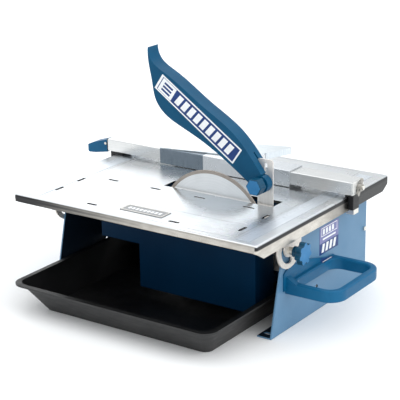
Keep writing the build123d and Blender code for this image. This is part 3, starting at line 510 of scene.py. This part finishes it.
# the label's foot runs on down the handle's back plate and over its bar
HANDLE_BAR = 17.0 * MM
WRAP_FILM = 0.1
bar_low, bar_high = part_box("carry_handle")
bar_top = bar_low.z + HANDLE_BAR
wrap_long = (bar_high.y - label_low.y) / MM - 9.0
wrap = dict(body="frame", slot="label_print")
wrap_x = bar_low.x + 2.3 * MM  # just in front of the back plate
plates("label_wrap", [rect(0, 4.2, 0, wrap_long)], (wrap_x, label_low.y, bar_top),
       thickness=WRAP_FILM, look="ink_navy", **FACING_UP, **wrap)
plates("label_wrap_bar", [rect(1.2, 3.0, 2, wrap_long - 3)], (wrap_x, label_low.y, bar_top + WRAP_FILM * MM),
       thickness=LABEL_INK, look="ink_white", **FACING_UP, **wrap)
under_crest = [(0, 0), (30, 0), (26, 0.5), (13, 2.6), (0, 6.0)]
plates("label_wrap_back", [under_crest], (bar_low.x + 2.02 * MM, label_low.y, bar_top + 0.2 * MM),
       thickness=LABEL_INK, look="ink_navy", **FACING_RIGHT, **wrap)

# badge on the table: raised frame and plain bars
ON_TABLE = dict(body="table", **FACING_UP)
low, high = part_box("table_badge")
wide, tall = (high.x - low.x) / MM, (high.y - low.y) / MM
badge_frame = frame_bars(1.2, wide - 1.2, 1.2, tall - 1.2, 1.6)
plates("badge_frame", badge_frame, (low.x, low.y, high.z),
       thickness=0.25, look="zinc", slot="badge_grey", **ON_TABLE)
dashes = [rect(8 + 6.4 * i, 12.2 + 6.4 * i, 8.5, 15.5) for i in range(9)]
plates("badge_bars", dashes, (low.x, low.y, high.z),
       thickness=0.12, look="ink_white", slot="badge_grey", **ON_TABLE)

# graduations on the two scale strips: long every 50 mm, middling every 10 mm, short every 5 mm
STRIP_WIDTH = 22.0
TICK_STEP, TICK_LINE = 5.0, 0.35
low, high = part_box("scale_strips")
for side, inner in (("left", low.x), ("right", high.x - STRIP_WIDTH * MM)):
    ticks = []
    for i in range(int((high.y - low.y) / (TICK_STEP * MM)) - 1):
        length = 9.0 if i % 10 == 0 else (6.5 if i % 2 == 0 else 4.0)
        at = TICK_STEP * (i + 1)
        ticks.append(rect(1.6, 1.6 + length, at, at + TICK_LINE))
    ticks += [rect(a, a + TICK_LINE, 2, 328) for a in (0.6, STRIP_WIDTH - 1)]
    plates(f"{side}_scale_ticks", ticks, (inner, low.y, high.z),
           thickness=0.03, look="ink_grey", slot="scale_metal", **ON_TABLE)

# lines pressed into the table around the working area
pressed = [
    rect(-150, 150, -168.2, -167.6),
    rect(-158, 158, 172.0, 172.6),
    rect(-163, -162.4, -166, 170),
    rect(162.4, 163, -166, 170),
    rect(-150, 128, -118.3, -117.7),
    rect(-150, -60, -60.3, -59.7),
]
plates("pressed_lines", pressed, (0, 0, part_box("table_badge")[0].z),
       thickness=0.04, look="ink_grey", slot="galvanised_sheet", **ON_TABLE)

# angle marks on the protractor, every 5 degrees to 30 each side
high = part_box("protractor_plate")[1]
pivot = joints["protractor_turn"]["pos_m"]
HALF_LINE = 0.2
marks = []
for i in range(-6, 7):
    turn = math.radians(90 + 5 * i)
    outward, across = Vector((math.cos(turn), math.sin(turn))), Vector((math.sin(turn), -math.cos(turn))) * HALF_LINE
    inner, outer = (24, 34) if i % 3 == 0 else (28, 34)
    corners = (outward * inner + across, outward * outer + across, outward * outer - across, outward * inner - across)
    marks.append([tuple(corner) for corner in corners])
plates("protractor_marks", marks, (pivot[0], pivot[1], high.z),
       thickness=0.05, look="ink_black", body="protractor", slot="galvanised_sheet", **FACING_UP)


# ---------------------------------------------------------------- floor, light and camera
def stage_plane(name, size, z):
    bpy.ops.mesh.primitive_plane_add(size=size, location=(0, 0, z))
    plane = bpy.context.object
    plane.name = name
    look = Look("floor_paper")
    tone = look.noise(2.0, detail=2)
    look.colour(look.blend(tone, (0.95, 0.95, 0.95), (0.975, 0.975, 0.975)))
    look.roughness(look.range(tone, 0.85, 0.95))
    plane.data.materials.append(look.material)


stage_plane("floor", size=40, z=-0.5 * MM)

world = bpy.data.worlds.new("studio")
bpy.context.scene.world = world
world.use_nodes = True
background = world.node_tree.nodes["Background"].inputs
background["Color"].default_value = (0.95, 0.98, 1.0, 1)
background["Strength"].default_value = 0.9


def area(name, place, target, size, power):
    light = bpy.data.lights.new(name, "AREA")
    light.shape = "RECTANGLE"
    light.size, light.size_y = size
    light.energy = power
    holder = bpy.data.objects.new(name, light)
    holder.location = place
    holder.rotation_euler = (Vector(target) - Vector(place)).to_track_quat("-Z", "Y").to_euler()
    bpy.context.scene.collection.objects.link(holder)


area("key", place=(0.1, 0.3, 3.0), target=(0, 0, 0.1), size=(6.4, 6.4), power=90)
area("back_left", place=(-2.25, 1.9, 1.0), target=(0, 0, 0.15), size=(1.9, 1.4), power=8.5)
area("right_fill", place=(2.8, -0.2, 1.5), target=(0.15, 0, 0.1), size=(3.4, 2.6), power=27)

YAW, PITCH, ROLL = math.radians(-35.02), math.radians(19.87), math.radians(-1.0)
camera_data = bpy.data.cameras.new("camera")
camera = bpy.data.objects.new("camera", camera_data)
bpy.context.scene.collection.objects.link(camera)
forward = Vector((math.cos(PITCH) * math.sin(YAW), math.cos(PITCH) * math.cos(YAW), -math.sin(PITCH)))
aim = forward.to_track_quat("-Z", "Y").to_matrix() @ Euler((0, 0, ROLL)).to_matrix()
camera.location = (1.0692, -1.5316, 0.7521)
camera.rotation_euler = aim.to_euler()
camera_data.sensor_width = 36.0
camera_data.lens = 122.049
camera_data.shift_x = -0.006
camera_data.shift_y = 0.0888
camera_data.clip_end = 100
bpy.context.scene.camera = camera
bpy.context.scene.view_settings.view_transform = "Standard"
